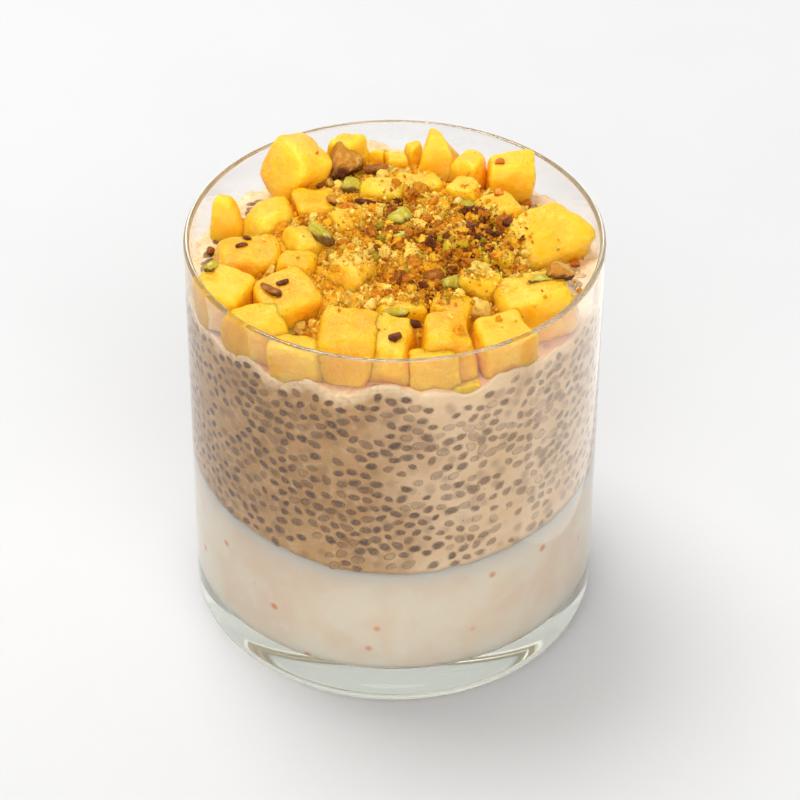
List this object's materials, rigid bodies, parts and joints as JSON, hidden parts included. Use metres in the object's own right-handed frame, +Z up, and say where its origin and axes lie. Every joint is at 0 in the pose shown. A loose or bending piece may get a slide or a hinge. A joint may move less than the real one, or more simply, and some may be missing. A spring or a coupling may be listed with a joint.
{
  "type": "chia pudding in a glass",
  "caption": "Chia pudding over a pale cream layer in a straight clear tumbler, topped with mango dice and nut crumble.",
  "frame": {"origin": "on the floor, under the middle of the glass", "axes": "+Z up along the axis of the glass, front of the dish towards -Y, +X to the right seen from the front"},
  "size_m": [0.076, 0.076, 0.0861],
  "materials": {
    "glass": "clear polished",
    "cream": "smooth opaque cream",
    "pudding": "soft gel with seeds",
    "mango": "wet fruit",
    "crumble": "dry chopped nuts"
  },
  "bodies": {
    "root": {"glass": "glass", "cream_layer": "cream", "chia_pudding": "pudding", "nut_crumble": "crumble", "mango_01": "mango", "mango_02": "mango", "mango_03": "mango", "mango_04": "mango", "mango_05": "mango", "mango_06": "mango", "mango_07": "mango", "mango_08": "mango", "mango_09": "mango", "mango_10": "mango", "mango_11": "mango", "mango_12": "mango", "mango_13": "mango", "mango_14": "mango", "mango_15": "mango", "mango_16": "mango", "mango_17": "mango", "mango_18": "mango", "mango_19": "mango", "mango_20": "mango", "mango_21": "mango", "mango_22": "mango", "mango_23": "mango", "mango_24": "mango", "mango_25": "mango", "mango_26": "mango", "mango_27": "mango", "mango_28": "mango", "mango_29": "mango", "mango_30": "mango", "mango_31": "mango", "mango_32": "mango", "mango_33": "mango", "mango_34": "mango", "mango_35": "mango", "mango_36": "mango", "mango_37": "mango", "mango_38": "mango"}
  },
  "joints": []
}
